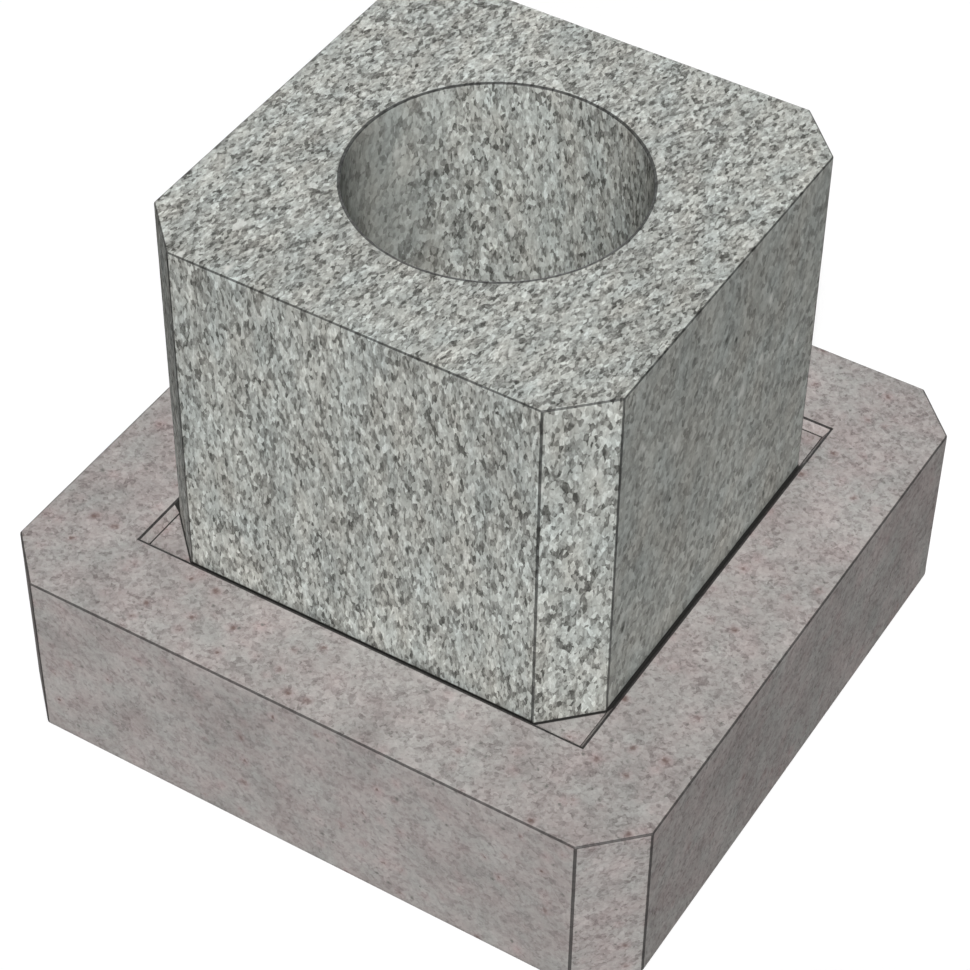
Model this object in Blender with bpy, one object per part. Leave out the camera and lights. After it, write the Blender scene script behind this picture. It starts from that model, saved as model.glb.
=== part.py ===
"""A two-piece granite column footing: a low square slab, and a taller bored block that stands in its seat.

Metres, +Z up. The origin is the centre of the slab's underside, and -Y is the front.
"""

import math

import bmesh
import bpy
from mathutils import Matrix

# The socket block, sized from the column that it holds
BORE_DIAMETER = 0.280
BORE_FACETS = 96
BLOCK_WALL = 0.100  # stone left between the bore and each side
BLOCK_HEIGHT = 0.390
BLOCK_CORNER = 0.050  # leg of the chamfer on each upright corner
BLOCK_ARRIS = 0.0015  # easing of the block's edges and of the bore's rims

# The footing slab, sized from the block that it carries
SLAB_LEDGE = 0.110  # slab left between the block and each side
SLAB_HEIGHT = 0.200
SLAB_CORNER = 0.050
SLAB_ARRIS = 0.002

# The seat sunk in the slab's top
SEAT_DEPTH = 0.010
SEAT_LEAN = math.radians(30)  # of its walls, out from upright
SEAT_CLEARANCE = 0.0005  # round the block's foot, on each side
BED_GAP = 0.0003  # under the block's foot

ARRIS_SEGMENTS = 2
CUT_OVERRUN = 0.010  # how far a cutter passes the face that it opens

BLOCK_SIDE = BORE_DIAMETER + 2 * BLOCK_WALL
SLAB_SIDE = BLOCK_SIDE + 2 * SLAB_LEDGE
SEAT_FLOOR_Z = SLAB_HEIGHT - SEAT_DEPTH

# Linear base colour, roughness and metallic
BLOCK_FINISH = ((0.31, 0.34, 0.31), 0.75, 0.0)
SLAB_FINISH = ((0.37, 0.33, 0.32), 0.70, 0.0)


def clear_scene():
    for obj in list(bpy.data.objects):
        bpy.data.objects.remove(obj, do_unlink=True)


def stone(name, finish):
    """The material of one stone."""
    colour, roughness, metallic = finish
    material = bpy.data.materials.new(name)
    material.use_nodes = True
    shader = material.node_tree.nodes["Principled BSDF"]
    shader.inputs["Base Color"].default_value = (*colour, 1.0)
    shader.inputs["Roughness"].default_value = roughness
    shader.inputs["Metallic"].default_value = metallic
    return material


def add_object(name, bm):
    mesh = bpy.data.meshes.new(name)
    bmesh.ops.recalc_face_normals(bm, faces=bm.faces)
    bm.to_mesh(mesh)
    bm.free()
    obj = bpy.data.objects.new(name, mesh)
    bpy.context.scene.collection.objects.link(obj)
    return obj


def sawn_block(name, side, height, corner, arris):
    """A square block standing on its own origin, with its upright corners cut off and its edges eased."""
    bm = bmesh.new()
    size = Matrix.Diagonal((side, side, height, 1.0))
    bmesh.ops.create_cube(bm, size=1.0, matrix=Matrix.Translation((0, 0, height / 2)) @ size)
    upright = [edge for edge in bm.edges if edge.verts[0].co.xy == edge.verts[1].co.xy]
    bmesh.ops.bevel(bm, geom=upright, offset=corner, offset_type="OFFSET", segments=1, affect="EDGES")
    obj = add_object(name, bm)
    easing = obj.modifiers.new("eased_arrises", "BEVEL")
    easing.width = arris
    easing.segments = ARRIS_SEGMENTS
    easing.limit_method = "ANGLE"
    return obj


def cutter(name, sides, levels):
    """A closed solid through regular rings of so many sides, one (radius, height) each, from the bottom up."""
    bm = bmesh.new()
    turned = Matrix.Rotation(math.pi / sides, 4, "Z")  # a flat side, not a corner, faces the front
    rings = []
    for radius, height in levels:
        at = Matrix.Translation((0, 0, height)) @ turned
        capped = height in (levels[0][1], levels[-1][1])
        ring = bmesh.ops.create_circle(bm, cap_ends=capped, segments=sides, radius=radius, matrix=at)
        rings.append({edge for vert in ring["verts"] for edge in vert.link_edges})
    for lower, upper in zip(rings, rings[1:]):
        bmesh.ops.bridge_loops(bm, edges=list(lower | upper))
    obj = add_object(name, bm)
    obj.data.shade_smooth()
    obj.data.set_sharp_from_angle(angle=math.radians(30))
    obj.hide_render = True
    obj.display_type = "WIRE"
    return obj


def cut(body, tool):
    """The tool moves with the body that it cuts."""
    tool.parent = body
    boolean = body.modifiers.new(tool.name, "BOOLEAN")
    boolean.operation = "DIFFERENCE"
    boolean.solver = "EXACT"
    boolean.object = tool


def seat_cutter():
    """The seat: its floor fits the block's foot, its walls lean out, and its upper edge is eased."""
    floor = BLOCK_SIDE / 2 + SEAT_CLEARANCE
    wall = floor + (SEAT_DEPTH - SLAB_ARRIS) * math.tan(SEAT_LEAN)
    # The easing leans half way between the wall and the slab's flat top.
    flare = math.tan((SEAT_LEAN + math.pi / 2) / 2)
    mouth = wall + (SLAB_ARRIS + CUT_OVERRUN) * flare
    levels = (
        (floor, SEAT_FLOOR_Z),
        (wall, SLAB_HEIGHT - SLAB_ARRIS),
        (mouth, SLAB_HEIGHT + CUT_OVERRUN),
    )
    return cutter("seat_cutter", 4, [(half * math.sqrt(2), height) for half, height in levels])


def bore_cutter():
    """The bore, right through the block, with both rims eased."""
    radius = BORE_DIAMETER / 2
    mouth = radius + BLOCK_ARRIS + CUT_OVERRUN
    levels = (
        (mouth, -CUT_OVERRUN),
        (radius, BLOCK_ARRIS),
        (radius, BLOCK_HEIGHT - BLOCK_ARRIS),
        (mouth, BLOCK_HEIGHT + CUT_OVERRUN),
    )
    return cutter("bore_cutter", BORE_FACETS, levels)


def footing_slab():
    slab = sawn_block("footing_slab", SLAB_SIDE, SLAB_HEIGHT, SLAB_CORNER, SLAB_ARRIS)
    slab.data.materials.append(stone("taupe_granite", SLAB_FINISH))
    cut(slab, seat_cutter())
    return slab


def socket_block(slab):
    """The bored block, standing on the floor of the slab's seat."""
    block = sawn_block("socket_block", BLOCK_SIDE, BLOCK_HEIGHT, BLOCK_CORNER, BLOCK_ARRIS)
    block.data.materials.append(stone("grey_granite", BLOCK_FINISH))
    block.parent = slab
    block.location.z = SEAT_FLOOR_Z + BED_GAP
    cut(block, bore_cutter())
    return block


clear_scene()
socket_block(footing_slab())
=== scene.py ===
import math

import bmesh
import bpy
from mathutils import Matrix, Vector


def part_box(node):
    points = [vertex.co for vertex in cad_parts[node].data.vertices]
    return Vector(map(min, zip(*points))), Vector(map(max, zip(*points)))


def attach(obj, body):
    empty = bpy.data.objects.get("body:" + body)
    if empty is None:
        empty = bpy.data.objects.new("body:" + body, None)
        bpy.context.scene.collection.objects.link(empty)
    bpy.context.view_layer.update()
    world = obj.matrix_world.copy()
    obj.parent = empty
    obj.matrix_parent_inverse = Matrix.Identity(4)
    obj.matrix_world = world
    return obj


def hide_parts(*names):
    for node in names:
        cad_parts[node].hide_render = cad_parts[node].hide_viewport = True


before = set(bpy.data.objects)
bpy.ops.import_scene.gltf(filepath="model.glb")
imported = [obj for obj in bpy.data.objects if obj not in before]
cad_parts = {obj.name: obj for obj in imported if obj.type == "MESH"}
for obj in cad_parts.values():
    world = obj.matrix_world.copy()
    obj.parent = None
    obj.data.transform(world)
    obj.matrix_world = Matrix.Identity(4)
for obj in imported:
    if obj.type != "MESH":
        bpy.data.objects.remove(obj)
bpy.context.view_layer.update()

slab_low, slab_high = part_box("footing_slab")
block_low, block_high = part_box("socket_block")

# Sizes of the two stones, in metres
SLAB_SIDE = slab_high.x - slab_low.x
BLOCK_SIDE = block_high.x - block_low.x
CORNER = 0.050  # leg of the chamfer on every upright corner
BORE_DIAMETER = 0.280
SEAT_DEPTH = 0.010
SEAT_LEAN = math.radians(30)
SEAT_CLEARANCE = 0.0005
GROOVE_WIDTH = SEAT_CLEARANCE + SEAT_DEPTH * math.tan(SEAT_LEAN)  # the joint's width at the seat's mouth
SLAB_ARRIS = 0.0018
BLOCK_ARRIS = 0.0015
LIP_ARRIS = 0.0009
RIM_WIDTH = 0.0032  # the rubbed ring on the block's top, round the bore
MOUTH_WIDTH = 0.0022  # and the ring of painted shade on the slab's top, round the seat's mouth
ARRIS_SEGMENTS = 3
SMOOTH_BELOW = math.radians(35)

# How finely the dressed faces are divided, and how near a point has to be to count as on a line
STEP = 0.006
NEAR = 0.0004

# What the saw and the rubbing stone leave: the faces fall short of true by this much here and there
UNEVEN_DEPTH = 0.00030
UNEVEN_LENGTH = 0.030
TRUE_BELOW = 0.012  # the foot of each stone stays true, so that it stands flat

# Material slots of a dressed stone, after the first, which is its faces'. The lip is the seat's mouth
# on the slab, darkened there as painted shade in the joint, and the bore's rim on the block
ARRIS, LIP = 1, 2

# Sockets of Blender's Mix node when it mixes colours
MIX_AMOUNT, MIX_FIRST, MIX_SECOND, MIX_RESULT = 0, 6, 7, 2

# How sharply a face has to look along an axis to count as square to it
SQUARE_ON = 4.0

# Each size of crystal: its share, how fine it is, and a shift that keeps its pattern apart from the others
CRYSTAL_SIZES = (("Coarse Share", 0.5, 0.0), ("Middle Share", 1.0, 7.3), ("Fine Share", 2.1, 3.1))
OUTLINE_WANDER = 0.9  # how quickly the outline of a crystal wanders
FLAKE_WANDER = 6.0  # and the outline of a flake
FLAKE_SIZES = (0.55, 1.25)  # the smallest and the largest flake, as shares of the recipe's radius
CLOUD_RANGE = (0.3, 0.7)  # the stretch of the noise that the clouds are made of
PATCH_SHIFT = 11.7  # keeps the patches of tint apart from the clouds
PIT_SHIFT = 4.3  # and the pits from both
PITS_PER_CRYSTAL = 2
LINE_START = -2.0  # where the joint's line starts, in widths of the line out from the block

# The camera stands where the picture was drawn from
PICTURE = 970
FOCAL_PIXELS = 3011.9
SENSOR = 36.0
CAMERA_AZIMUTH = math.radians(31.07)
CAMERA_ELEVATION = math.radians(44.50)
CAMERA_ROLL = math.radians(0.81)
CAMERA_DISTANCE = 2.953
AIM = Vector((-0.0044, -0.0064, slab_high.z))

# Studio light: each sun's azimuth, elevation and spread in degrees, and its strength
SUNS = {
    "high_front": (28.5, 48, 10, 3.62),
    "low_front": (29, 12, 40, 0.42),
    "back_fill": (211, 3, 30, 1.8),
}
SKY_LIGHT = 0.05
SKY_SEEN = 0.95
FLOOR_SIZE = 60.0
FLOOR_SEEN = 0.9
FLOOR_BOUNCE = 0.16  # how pale the floor is to the light that it throws back on the stones
FLOOR_GLOW = 0.14
FLOOR_ROUGHNESS = 0.9


def deselect_all():
    for obj in bpy.context.selected_objects:
        obj.select_set(False)


def begin(name, finishes):
    """A new empty mesh at the origin, open in edit mode, into which primitives are added in place."""
    deselect_all()
    obj = bpy.data.objects.new(name, bpy.data.meshes.new(name))
    for finish in finishes:
        obj.data.materials.append(finish)
    bpy.context.scene.collection.objects.link(obj)
    bpy.context.view_layer.objects.active = obj
    obj.select_set(True)
    bpy.ops.object.mode_set(mode="EDIT")
    return obj


def select_edges(obj, wanted):
    """Selects just the edges that wanted(first point, second point) accepts."""
    bpy.ops.mesh.select_mode(type="EDGE")
    bpy.ops.mesh.select_all(action="DESELECT")
    bm = bmesh.from_edit_mesh(obj.data)
    for edge in bm.edges:
        edge.select_set(wanted(*(vert.co for vert in edge.verts)))
    bmesh.update_edit_mesh(obj.data)


def level(height):
    return lambda a, b: abs(a.z - height) < NEAR and abs(b.z - height) < NEAR


def both(*tests):
    return lambda a, b: all(test(a, b) for test in tests)


def either(*tests):
    return lambda a, b: any(test(a, b) for test in tests)


def on_outline(side, corner):
    """Both ends lie on the upright faces of a square with its corners cut off."""
    half = side / 2

    def on(point):
        x, y = abs(point.x), abs(point.y)
        return max(max(x, y) - half, (x + y - 2 * half + corner) / math.sqrt(2)) > -NEAR

    return lambda a, b: on(a) and on(b)


def on_circle(radius):
    return lambda a, b: all(abs(p.xy.length - radius) < NEAR for p in (a, b))


def on_square(side):
    return lambda a, b: all(abs(max(abs(p.x), abs(p.y)) - side / 2) < NEAR for p in (a, b))


def inside_circle(radius):
    return lambda a, b: all(p.xy.length < radius + NEAR for p in (a, b))


def inside_square(side):
    return lambda a, b: all(max(abs(p.x), abs(p.y)) < side / 2 + NEAR for p in (a, b))


def upright(a, b):
    return (a.xy - b.xy).length < NEAR < abs(a.z - b.z)


def on_corner_line(side):
    """Both ends lie where a flat side meets a cut-off corner."""
    half = side / 2

    def on(point):
        x, y = sorted((abs(point.x), abs(point.y)))
        return abs(y - half) < NEAR and abs(x - half + CORNER) < NEAR

    return lambda a, b: on(a) and on(b)


def divided_outline(obj, side, corner, height):
    """A square loop with cut-off corners, in steps of about STEP. It gives back how many steps it has."""
    bpy.ops.mesh.primitive_plane_add(size=side, location=(0, 0, height))
    bpy.ops.mesh.bevel(offset=corner, segments=1, affect="VERTICES")
    bpy.ops.mesh.delete(type="ONLY_FACE")
    long_edge, short_edge = side - 2 * corner, corner * math.sqrt(2)
    long_steps, short_steps = round(long_edge / STEP), round(short_edge / STEP)
    on = both(level(height), on_outline(side, corner))
    select_edges(obj, lambda a, b: on(a, b) and (a - b).length > (long_edge + short_edge) / 2)
    bpy.ops.mesh.subdivide(number_cuts=long_steps - 1)
    select_edges(obj, lambda a, b: on(a, b) and (a - b).length > short_edge - NEAR)
    bpy.ops.mesh.subdivide(number_cuts=short_steps - 1)
    return 4 * (long_steps + short_steps)


def extrude(obj, wanted, drop):
    """Draws a loop of edges straight down into a wall, and cuts the wall into rows."""
    select_edges(obj, wanted)
    bpy.ops.mesh.extrude_region_move(TRANSFORM_OT_translate={"value": (0, 0, -drop)})
    select_edges(obj, lambda a, b: abs(abs(a.z - b.z) - drop) < NEAR)
    bpy.ops.mesh.subdivide(number_cuts=round(drop / STEP) - 1)


def bridge(obj, wanted, width):
    """A flat ring of faces between two loops at one level."""
    select_edges(obj, wanted)
    bpy.ops.mesh.bridge_edge_loops(number_cuts=round(width / STEP) - 1, interpolation="LINEAR")


def divided_square(obj, side, steps, height):
    """A square loop, each side in so many steps. It gives back the test that finds its edges."""
    bpy.ops.mesh.primitive_plane_add(size=side, location=(0, 0, height))
    bpy.ops.mesh.delete(type="ONLY_FACE")
    wanted = both(level(height), on_square(side))
    for cuts in (1, steps // 2 - 1):  # halved first, because one subdivision stops at 100 cuts
        select_edges(obj, wanted)
        bpy.ops.mesh.subdivide(number_cuts=cuts)
    return wanted


def draw_in(obj, wanted, share, drop):
    """Extrudes a loop of edges down by drop and inwards, to that share of its size."""
    select_edges(obj, wanted)
    bpy.ops.mesh.extrude_region_move(TRANSFORM_OT_translate={"value": (0, 0, -drop)})
    bpy.ops.transform.resize(value=(share, share, 1), center_override=(0, 0, 0))


def finish_faces(obj, wanted, finish):
    """Gives a finish to the faces whose every edge wanted accepts."""
    bm = bmesh.from_edit_mesh(obj.data)
    for face in bm.faces:
        if all(wanted(*(vert.co for vert in edge.verts)) for edge in face.edges):
            face.material_index = finish
    bmesh.update_edit_mesh(obj.data)


def ease(obj, wanted, width, finish=ARRIS):
    """Rounds off the chosen edges, as a mason eases an arris with a rubbing stone."""
    select_edges(obj, wanted)
    bpy.ops.mesh.bevel(offset=width, segments=ARRIS_SEGMENTS, profile=0.5, affect="EDGES", material=finish)


def finish_stone(obj, foot):
    bpy.ops.mesh.select_all(action="SELECT")
    bpy.ops.mesh.normals_make_consistent(inside=False)
    bpy.ops.object.mode_set(mode="OBJECT")
    wear_uneven(obj, foot)
    bpy.ops.object.shade_smooth_by_angle(angle=SMOOTH_BELOW)
    return obj


def wear_uneven(obj, foot):
    """Sinks the dressed faces and arrises by a fraction of a millimetre here and there."""
    group = obj.vertex_groups.new(name="dressed")
    above = [vert.index for vert in obj.data.vertices if vert.co.z > foot + TRUE_BELOW]
    group.add(above, 1.0, "REPLACE")
    texture = bpy.data.textures.new(obj.name + "_unevenness", "CLOUDS")
    texture.noise_scale = UNEVEN_LENGTH
    sink = obj.modifiers.new("unevenness", "DISPLACE")
    sink.texture = texture
    sink.texture_coords = "LOCAL"
    sink.mid_level = 1.0
    sink.strength = UNEVEN_DEPTH
    sink.vertex_group = group.name
    bpy.ops.object.modifier_apply(modifier=sink.name)


def footing_slab(finishes):
    """The low slab, with the shallow square seat sunk in its top."""
    obj = begin("dressed_slab", finishes)
    top = slab_high.z
    floor_side = BLOCK_SIDE + 2 * SEAT_CLEARANCE
    mouth_side = floor_side + 2 * SEAT_DEPTH * math.tan(SEAT_LEAN)
    ring_side = mouth_side + 2 * MOUTH_WIDTH
    steps = divided_outline(obj, SLAB_SIDE, CORNER, top)
    outline = on_outline(SLAB_SIDE, CORNER)
    ring = divided_square(obj, ring_side, steps // 4, top)
    mouth = both(level(top), on_square(mouth_side))
    bridge(obj, either(both(level(top), outline), ring), (SLAB_SIDE - ring_side) / 2)
    extrude(obj, both(level(top), outline), top)
    select_edges(obj, both(level(0), outline))
    bpy.ops.mesh.edge_face_add()
    draw_in(obj, ring, mouth_side / ring_side, 0)
    draw_in(obj, mouth, floor_side / mouth_side, SEAT_DEPTH)
    bpy.ops.mesh.fill_grid()
    finish_faces(obj, both(level(top), inside_square(ring_side)), LIP)
    corner_lines = both(upright, outline, on_corner_line(SLAB_SIDE))
    ease(obj, either(both(either(level(top), level(0)), outline), corner_lines), SLAB_ARRIS)
    ease(obj, mouth, LIP_ARRIS, LIP)
    return finish_stone(obj, 0.0)


def socket_block(finishes):
    """The tall block, bored from top to foot."""
    obj = begin("dressed_block", finishes)
    foot, top = block_low.z, block_high.z
    radius = BORE_DIAMETER / 2
    ring_radius = radius + RIM_WIDTH
    steps = divided_outline(obj, BLOCK_SIDE, CORNER, top)
    bpy.ops.mesh.primitive_circle_add(vertices=steps, radius=ring_radius, location=(0, 0, top))
    outline, ring, bore = on_outline(BLOCK_SIDE, CORNER), on_circle(ring_radius), on_circle(radius)
    bridge(obj, both(level(top), either(outline, ring)), BLOCK_SIDE / 2 - ring_radius)
    bpy.ops.mesh.primitive_circle_add(vertices=steps, radius=radius, location=(0, 0, top))
    bridge(obj, both(level(top), either(ring, bore)), RIM_WIDTH)
    extrude(obj, both(level(top), outline), top - foot)
    extrude(obj, both(level(top), bore), top - foot)
    bridge(obj, both(level(foot), either(outline, bore)), BLOCK_SIDE / 2 - radius)
    finish_faces(obj, both(level(top), inside_circle(ring_radius)), LIP)
    corner_lines = both(upright, outline, on_corner_line(BLOCK_SIDE))
    ease(obj, either(both(either(level(top), level(foot)), outline), corner_lines), BLOCK_ARRIS)
    ease(obj, both(either(level(top), level(foot)), bore), LIP_ARRIS, LIP)
    return finish_stone(obj, foot)


def add(tree, kind, inputs=None, **settings):
    """A new node, with its settings made and each input given a value or wired to an output."""
    made = tree.nodes.new(kind)
    for name, value in settings.items():
        setattr(made, name, value)
    for name, value in (inputs or {}).items():
        if isinstance(value, bpy.types.NodeSocket):
            tree.links.new(value, made.inputs[name])
        else:
            made.inputs[name].default_value = value
    return made


def vector_maths(tree, operation, *operands):
    made = add(tree, "ShaderNodeVectorMath", dict(enumerate(operands)), operation=operation)
    return made.outputs["Vector"]


def maths(tree, operation, *operands):
    made = add(tree, "ShaderNodeMath", dict(enumerate(operands)), operation=operation)
    return made.outputs["Value"]


def spread(tree, value, low, high, to_low, to_high, kind="LINEAR"):
    """Stretches the range low to high of a value onto another range, and keeps within it."""
    made = add(tree, "ShaderNodeMapRange", {"Value": value, "From Min": low, "From Max": high,
                                            "To Min": to_low, "To Max": to_high}, interpolation_type=kind)
    return made.outputs["Result"]


def mixed(tree, amount, first, second, blend="MIX"):
    made = add(tree, "ShaderNodeMix", data_type="RGBA", blend_type=blend)
    for index, value in ((MIX_AMOUNT, amount), (MIX_FIRST, first), (MIX_SECOND, second)):
        if isinstance(value, bpy.types.NodeSocket):
            tree.links.new(value, made.inputs[index])
        else:
            made.inputs[index].default_value = value
    return made.outputs[MIX_RESULT]


def ramp(tree, value, stops):
    """Turns a value into a colour. Each stop is a place from 0 to 1 and its colour."""
    made = add(tree, "ShaderNodeValToRGB", {"Fac": value})
    elements = made.color_ramp.elements
    elements[0].position, elements[0].color = stops[0][0], (*stops[0][1], 1)
    elements[1].position, elements[1].color = stops[-1][0], (*stops[-1][1], 1)
    for place, colour in stops[1:-1]:
        elements.new(place).color = (*colour, 1)
    return made.outputs["Color"]


def new_group(name, inputs, outputs):
    """An empty node group. It gives back the group, what it is given and what it has to hand on."""
    tree = bpy.data.node_groups.new(name, "ShaderNodeTree")
    for label, value in inputs.items():
        kind = "NodeSocketFloat" if isinstance(value, float) else "NodeSocketVector"
        tree.interface.new_socket(label, in_out="INPUT", socket_type=kind).default_value = value
    for label in outputs:
        tree.interface.new_socket(label, in_out="OUTPUT", socket_type="NodeSocketFloat")
    return tree, tree.nodes.new("NodeGroupInput").outputs, tree.nodes.new("NodeGroupOutput").inputs


def place(tree, group, inputs):
    """Puts a node group in a material, and gives back its outputs."""
    return add(tree, "ShaderNodeGroup", inputs, node_tree=group).outputs


def crystals_group():
    """Interlocking crystals of three sizes, with ragged outlines, each with a tone of its own.

    Softened says how much of the contrast is lost on faces that look along X, Y and Z.
    """
    tree, given, result = new_group(
        "interlocking_crystals",
        {"Position": (0.0, 0.0, 0.0), "Facing": (0.0, 0.0, 1.0), "Size": (0.003, 0.003, 0.003),
         "Raggedness": 0.8, "Coarse Share": 0.3, "Middle Share": 0.5, "Fine Share": 0.2,
         "Softened": (0.0, 0.0, 0.0)},
        ["Tone"])
    counted = vector_maths(tree, "DIVIDE", given["Position"], given["Size"])
    wander = add(tree, "ShaderNodeTexNoise", {"Vector": counted, "Scale": OUTLINE_WANDER, "Detail": 1.0})
    centred = vector_maths(tree, "SUBTRACT", wander.outputs["Color"], (0.5, 0.5, 0.5))
    ragged = vector_maths(tree, "MULTIPLY_ADD", centred, given["Raggedness"], counted)
    tone = 0.0
    for share, fineness, shift in CRYSTAL_SIZES:
        shifted = vector_maths(tree, "ADD", ragged, (shift, shift, shift))
        cells = add(tree, "ShaderNodeTexVoronoi", {"Vector": shifted, "Scale": fineness})
        own = add(tree, "ShaderNodeSeparateXYZ", {"Vector": cells.outputs["Color"]}).outputs["X"]
        own = maths(tree, "SUBTRACT", own, 0.5)
        tone = maths(tree, "MULTIPLY_ADD", own, given[share], tone)
    along_axes = vector_maths(tree, "ABSOLUTE", given["Facing"])
    squareness = vector_maths(tree, "MULTIPLY_ADD", along_axes, (SQUARE_ON,) * 3, (1 - SQUARE_ON,) * 3)
    squareness = vector_maths(tree, "MAXIMUM", squareness, (0, 0, 0))
    lost = add(tree, "ShaderNodeVectorMath", {0: squareness, 1: given["Softened"]}, operation="DOT_PRODUCT")
    kept = maths(tree, "SUBTRACT", 1.0, lost.outputs["Value"])
    tree.links.new(maths(tree, "MULTIPLY_ADD", tone, kept, 0.5), result["Tone"])
    return tree


def flakes_group():
    """Flakes scattered far apart, no two alike in size, each with a wide soft halo round it."""
    tree, given, result = new_group(
        "scattered_flakes",
        {"Position": (0.0, 0.0, 0.0), "Spacing": (0.02, 0.02, 0.02), "Share": 0.5,
         "Flake Radius": 0.15, "Halo Radius": 0.5, "Raggedness": 0.3},
        ["Flake", "Halo"])
    counted = vector_maths(tree, "DIVIDE", given["Position"], given["Spacing"])
    cells = add(tree, "ShaderNodeTexVoronoi", {"Vector": counted, "Scale": 1.0})
    rough = add(tree, "ShaderNodeTexNoise", {"Vector": counted, "Scale": FLAKE_WANDER, "Detail": 1.0})
    wander = maths(tree, "SUBTRACT", rough.outputs["Fac"], 0.5)
    distance = maths(tree, "MULTIPLY_ADD", wander, given["Raggedness"], cells.outputs["Distance"])
    own = add(tree, "ShaderNodeSeparateXYZ", {"Vector": cells.outputs["Color"]}).outputs
    present = maths(tree, "LESS_THAN", own["X"], given["Share"])
    radius = maths(tree, "MULTIPLY", given["Flake Radius"], spread(tree, own["Y"], 0.0, 1.0, *FLAKE_SIZES))
    flake = spread(tree, distance, 0.0, radius, 1.0, 0.0, "SMOOTHSTEP")
    halo = spread(tree, distance, 0.0, given["Halo Radius"], 1.0, 0.0, "SMOOTHSTEP")
    tree.links.new(maths(tree, "MULTIPLY", flake, present), result["Flake"])
    tree.links.new(maths(tree, "MULTIPLY", halo, present), result["Halo"])
    return tree


def clouds_group():
    """Broad clouds, from Low to High."""
    tree, given, result = new_group(
        "broad_clouds",
        {"Position": (0.0, 0.0, 0.0), "Size": (0.05, 0.05, 0.05), "Shift": 0.0, "Low": 0.0, "High": 1.0},
        ["Shade"])
    counted = vector_maths(tree, "DIVIDE", given["Position"], given["Size"])
    shifted = vector_maths(tree, "ADD", counted, given["Shift"])
    clouds = add(tree, "ShaderNodeTexNoise", {"Vector": shifted, "Scale": 1.0, "Detail": 2.0})
    shade = spread(tree, clouds.outputs["Fac"], *CLOUD_RANGE, given["Low"], given["High"])
    tree.links.new(shade, result["Shade"])
    return tree


def painted_joint_shade_group():
    """Painted shade in the open joint between the stones, by height and by distance out from the block's
    outline.

    Along a flat side it fills the groove up to the mouth. At a cut-off corner it is a line round the
    block's foot, and another where the seat's floor meets its wall.
    """
    tree, given, result = new_group(
        "painted_joint_shade",
        {"Position": (0.0, 0.0, 0.0), "Half Side": 0.24, "Corner": 0.05, "Foot Level": 0.19,
         "Mouth Level": 0.2, "Groove Width": 0.006, "Line Width": 0.001, "Fade": 0.0006},
        ["Grime"])
    places = vector_maths(tree, "ABSOLUTE", given["Position"])
    parts = add(tree, "ShaderNodeSeparateXYZ", {"Vector": places}).outputs
    widest = maths(tree, "MAXIMUM", parts["X"], parts["Y"])
    narrowest = maths(tree, "MINIMUM", parts["X"], parts["Y"])
    side_ends = maths(tree, "SUBTRACT", given["Half Side"], given["Corner"])
    flat = maths(tree, "LESS_THAN", narrowest, side_ends)

    past_side = maths(tree, "SUBTRACT", widest, given["Half Side"])
    past_corner = maths(tree, "ADD", past_side, maths(tree, "SUBTRACT", narrowest, side_ends))
    past_corner = maths(tree, "MULTIPLY", past_corner, math.sqrt(0.5))
    past = maths(tree, "MAXIMUM", past_side, past_corner)
    groove = maths(tree, "MULTIPLY", flat, given["Groove Width"])
    reach = maths(tree, "MAXIMUM", groove, given["Line Width"])
    beyond = spread(tree, past, reach, maths(tree, "ADD", reach, given["Fade"]), 1.0, 0.0)
    inside = maths(tree, "MULTIPLY", given["Line Width"], LINE_START)
    near_block = maths(tree, "MULTIPLY", beyond, maths(tree, "GREATER_THAN", past, inside))
    near_wall = maths(tree, "GREATER_THAN", past_side, 0.0)

    depth = maths(tree, "SUBTRACT", given["Mouth Level"], given["Foot Level"])
    dark_up_to = maths(tree, "MULTIPLY_ADD", flat, depth, given["Foot Level"])
    clean_from = maths(tree, "ADD", dark_up_to, given["Fade"])
    below = spread(tree, parts["Z"], dark_up_to, clean_from, 1.0, 0.0)
    either_line = maths(tree, "MAXIMUM", near_block, near_wall)
    outer = maths(tree, "LESS_THAN", past_side, given["Groove Width"])
    shade_in_joint = maths(tree, "MULTIPLY", maths(tree, "MULTIPLY", either_line, outer), below)
    tree.links.new(shade_in_joint, result["Grime"])
    return tree


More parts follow.
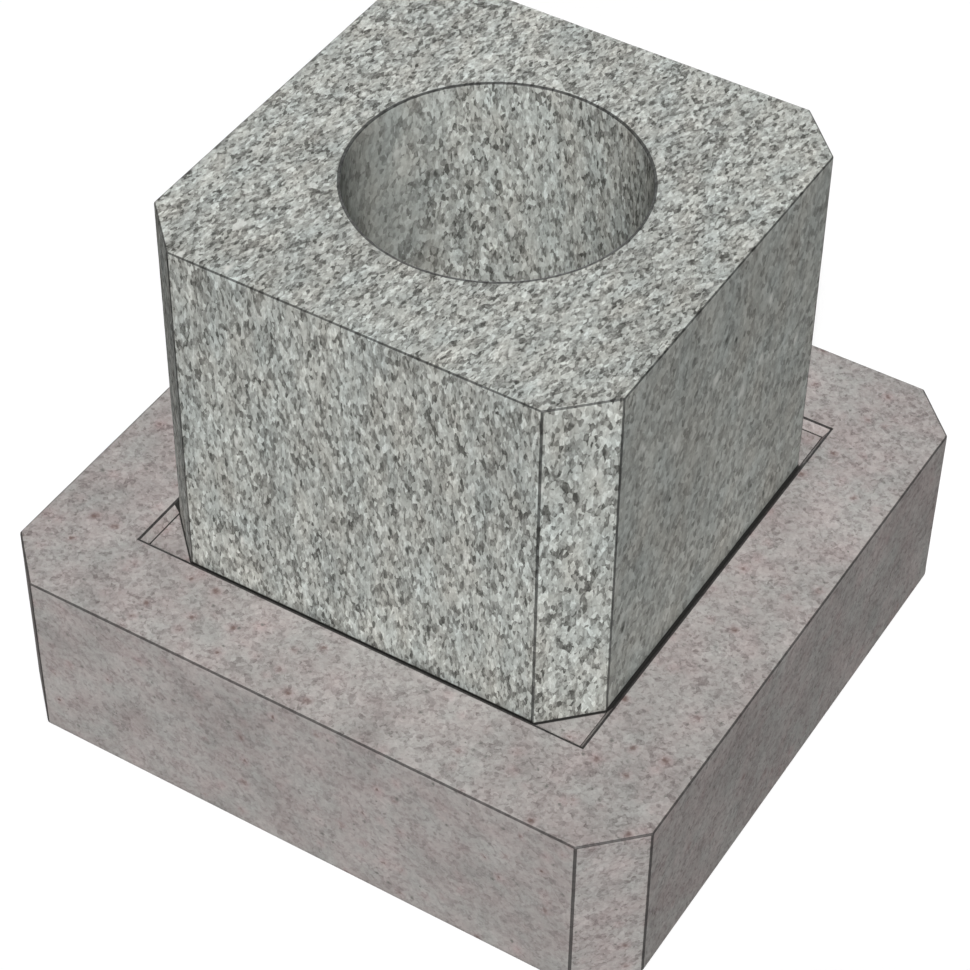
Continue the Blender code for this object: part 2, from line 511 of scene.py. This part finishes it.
def granite(name, groups, recipe):
    """One stone's finish, from a recipe: crystals, clouds, patches of tint, scattered flakes and painted
    shade in the joint.
    """
    crystals, flakes, clouds, painted_joint_shade = groups
    material = bpy.data.materials.new(name)
    material.use_nodes = True
    tree = material.node_tree
    shader = tree.nodes["Principled BSDF"]
    coordinates = add(tree, "ShaderNodeTexCoord").outputs
    position = coordinates["Object"]
    bed = Vector(recipe["bed"])
    tint = (*recipe["tint"], 1)

    coarse, middle, fine = recipe["crystal_shares"]
    tone = place(tree, crystals, {"Position": position, "Facing": coordinates["Normal"],
                                  "Size": bed * recipe["crystal_size"], "Raggedness": recipe["raggedness"],
                                  "Coarse Share": coarse, "Middle Share": middle, "Fine Share": fine,
                                  "Softened": recipe["softened"]})["Tone"]
    colour = ramp(tree, tone, recipe["tones"])
    depth = recipe["cloud_depth"]
    shade = place(tree, clouds, {"Position": position, "Size": bed * recipe["cloud_size"],
                                 "Low": 1 - depth, "High": 1 + depth})["Shade"]
    colour = mixed(tree, 1.0, colour, shade, "MULTIPLY")
    patches = place(tree, clouds, {"Position": position, "Size": bed * recipe["tint_size"],
                                   "Shift": PATCH_SHIFT, "High": recipe["tint_amount"]})["Shade"]
    colour = mixed(tree, patches, colour, tint, "MULTIPLY")
    for spacing, share, radius, flake, halo_amount in recipe["flakes"]:
        scattered = place(tree, flakes, {"Position": position, "Spacing": bed * spacing,
                                         "Share": share, "Flake Radius": radius})
        if halo_amount:
            halo = maths(tree, "MULTIPLY", scattered["Halo"], halo_amount)
            colour = mixed(tree, halo, colour, tint, "MULTIPLY")
        colour = mixed(tree, scattered["Flake"], colour, (*flake, 1))
    # Darkens the colour: rubbing on the arrises and the bore's rim, and painted shade at the seat's mouth
    if recipe["rubbed_and_shaded"] < 1:
        colour = mixed(tree, 1.0, colour, (*[recipe["rubbed_and_shaded"]] * 3, 1), "MULTIPLY")
    # Painted shade: the colour is darkened in the open joint round the block's foot and where the seat's
    # floor meets its wall
    shade_above_foot, shade_below_mouth = recipe["joint"]
    shade_in_joint = place(tree, painted_joint_shade, {"Position": position, "Half Side": BLOCK_SIDE / 2, "Corner": CORNER,
                                     "Foot Level": block_low.z + shade_above_foot,
                                     "Mouth Level": slab_high.z - shade_below_mouth,
                                     "Groove Width": GROOVE_WIDTH})["Grime"]
    colour = mixed(tree, shade_in_joint, colour, (*JOINT_PAINTED_SHADE, 1))
    tree.links.new(colour, shader.inputs["Base Color"])

    tree.links.new(spread(tree, tone, 0.0, 1.0, *recipe["roughness"]), shader.inputs["Roughness"])
    pits = place(tree, clouds, {"Position": position, "Shift": PIT_SHIFT,
                                "Size": bed * recipe["crystal_size"] / PITS_PER_CRYSTAL})
    relief = add(tree, "ShaderNodeBump", {"Height": pits["Shade"], "Strength": recipe["relief"],
                                          "Distance": RELIEF_DEPTH})
    tree.links.new(relief.outputs["Normal"], shader.inputs["Normal"])
    return material


# How deep the fine pits are, in metres, and the colour of the painted shade in the joint
RELIEF_DEPTH = 0.0003
JOINT_PAINTED_SHADE = (0.022, 0.021, 0.019)

# Each tone is a place from 0 to 1 and a colour. Each flake is its spacing, its share of the places,
# its radius as a share of the spacing, its colour and how strongly its halo takes the tint. The joint
# is how high its painted shade stands over the block's foot, and how far under the slab's top it ends.
GREY_GRANITE = {
    "bed": (1.0, 1.9, 2.6),  # the grain lies upright, long in the bed and thin across it
    "crystal_size": 0.0027,
    "crystal_shares": (0.30, 0.69, 0.25),
    "raggedness": 0.9,
    "softened": (0.48, 0.08, 0.0),
    "tones": ((0.00, (0.063, 0.061, 0.053)), (0.20, (0.160, 0.157, 0.141)), (0.38, (0.304, 0.301, 0.275)),
              (0.55, (0.417, 0.417, 0.382)), (0.78, (0.552, 0.555, 0.513)), (1.00, (0.728, 0.738, 0.690))),
    "cloud_size": 0.050,
    "cloud_depth": 0.09,
    "tint": (0.91, 0.99, 1.04),
    "tint_size": 0.024,
    "tint_amount": 0.7,
    "flakes": ((0.0170, 0.50, 0.17, (0.070, 0.072, 0.064), 0.0),
               (0.0230, 0.50, 0.19, (0.640, 0.648, 0.612), 0.0)),
    "rubbed_and_shaded": 1.0,
    "joint": (0.0015, 0.0056),
    "roughness": (0.80, 0.55),
    "relief": 0.25,
}

TAUPE_GRANITE = {
    "bed": (1.0, 1.0, 1.0),
    "crystal_size": 0.0042,
    "crystal_shares": (0.28, 0.50, 0.30),
    "raggedness": 0.9,
    "softened": (0.12, 0.26, 0.0),
    "tones": ((0.00, (0.176, 0.159, 0.152)), (0.30, (0.290, 0.278, 0.268)), (0.50, (0.355, 0.346, 0.331)),
              (0.75, (0.404, 0.395, 0.380)), (1.00, (0.463, 0.455, 0.440))),
    "cloud_size": 0.060,
    "cloud_depth": 0.12,
    "tint": (1.03, 0.915, 0.925),
    "tint_size": 0.036,
    "tint_amount": 0.85,
    "flakes": ((0.0220, 0.50, 0.21, (0.165, 0.115, 0.104), 0.8),
               (0.0125, 0.40, 0.22, (0.150, 0.146, 0.134), 0.0)),
    "rubbed_and_shaded": 1.0,
    "joint": (0.0, 0.0003),
    "roughness": (0.80, 0.60),
    "relief": 0.15,
}

RUBBED_ARRIS = {"rubbed_and_shaded": 0.24, "roughness": (0.50, 0.35), "relief": 0.1}
# The seat's mouth is darkened as painted shade in the joint
SEAT_MOUTH_SHADE = {"rubbed_and_shaded": 0.10, "roughness": (0.80, 0.60), "relief": 0.1}
BORE_RIM = {"rubbed_and_shaded": 0.16, "roughness": (0.60, 0.45), "relief": 0.1}


def pale_floor():
    """Looks nearly white, and throws only a little light back on the stones."""
    material = bpy.data.materials.new("pale_floor")
    material.use_nodes = True
    tree = material.node_tree
    shader = tree.nodes["Principled BSDF"]
    seen = add(tree, "ShaderNodeLightPath").outputs["Is Camera Ray"]
    tree.links.new(spread(tree, seen, 0.0, 1.0, FLOOR_BOUNCE, FLOOR_SEEN), shader.inputs["Base Color"])
    tree.links.new(spread(tree, seen, 0.0, 1.0, 0.0, FLOOR_GLOW), shader.inputs["Emission Strength"])
    shader.inputs["Roughness"].default_value = FLOOR_ROUGHNESS
    shader.inputs["Emission Color"].default_value = (1, 1, 1, 1)
    return material


def studio():
    """A white floor, a high and a low light on the camera's side, a fill from behind and a pale sky."""
    deselect_all()
    bpy.ops.mesh.primitive_plane_add(size=FLOOR_SIZE)
    floor = bpy.context.object
    floor.name = "studio_floor"
    floor.data.materials.append(pale_floor())
    floor.visible_glossy = False
    for name, (azimuth, elevation, spread_angle, strength) in SUNS.items():
        data = bpy.data.lights.new(name, "SUN")
        data.energy = strength
        data.angle = math.radians(spread_angle)
        light = bpy.data.objects.new(name, data)
        light.rotation_euler = (math.radians(90 - elevation), 0, math.radians(azimuth))
        bpy.context.scene.collection.objects.link(light)
    world = bpy.data.worlds.new("pale_sky")
    world.use_nodes = True
    tree = world.node_tree
    seen = add(tree, "ShaderNodeLightPath").outputs["Is Camera Ray"]
    sky = tree.nodes["Background"]
    sky.inputs["Color"].default_value = (1, 1, 1, 1)
    tree.links.new(spread(tree, seen, 0.0, 1.0, SKY_LIGHT, SKY_SEEN), sky.inputs["Strength"])
    bpy.context.scene.world = world
    bpy.context.scene.view_settings.view_transform = "Standard"


def camera():
    """Stands at the picture's own viewpoint, aimed at the middle of the slab's top."""
    data = bpy.data.cameras.new("viewpoint")
    data.sensor_width = SENSOR
    data.lens = FOCAL_PIXELS / PICTURE * SENSOR
    obj = bpy.data.objects.new("viewpoint", data)
    turned = (Matrix.Rotation(CAMERA_AZIMUTH, 4, "Z")
              @ Matrix.Rotation(math.pi / 2 - CAMERA_ELEVATION, 4, "X")
              @ Matrix.Rotation(CAMERA_ROLL, 4, "Z"))
    back = turned @ Vector((0, 0, 1))
    obj.matrix_world = Matrix.Translation(AIM + back * CAMERA_DISTANCE) @ turned
    bpy.context.scene.collection.objects.link(obj)
    bpy.context.scene.camera = obj


camera()
studio()
groups = (crystals_group(), flakes_group(), clouds_group(), painted_joint_shade_group())
taupe = [granite("taupe_face", groups, TAUPE_GRANITE),
         granite("taupe_arris", groups, TAUPE_GRANITE | RUBBED_ARRIS),
         granite("taupe_seat_mouth_shade", groups, TAUPE_GRANITE | SEAT_MOUTH_SHADE)]
grey = [granite("grey_face", groups, GREY_GRANITE),
        granite("grey_arris", groups, GREY_GRANITE | RUBBED_ARRIS),
        granite("grey_bore_rim", groups, GREY_GRANITE | BORE_RIM)]
for piece, node, slot in ((footing_slab(taupe), "footing_slab", "taupe_granite"),
                          (socket_block(grey), "socket_block", "grey_granite")):
    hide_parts(node)
    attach(piece, "root")
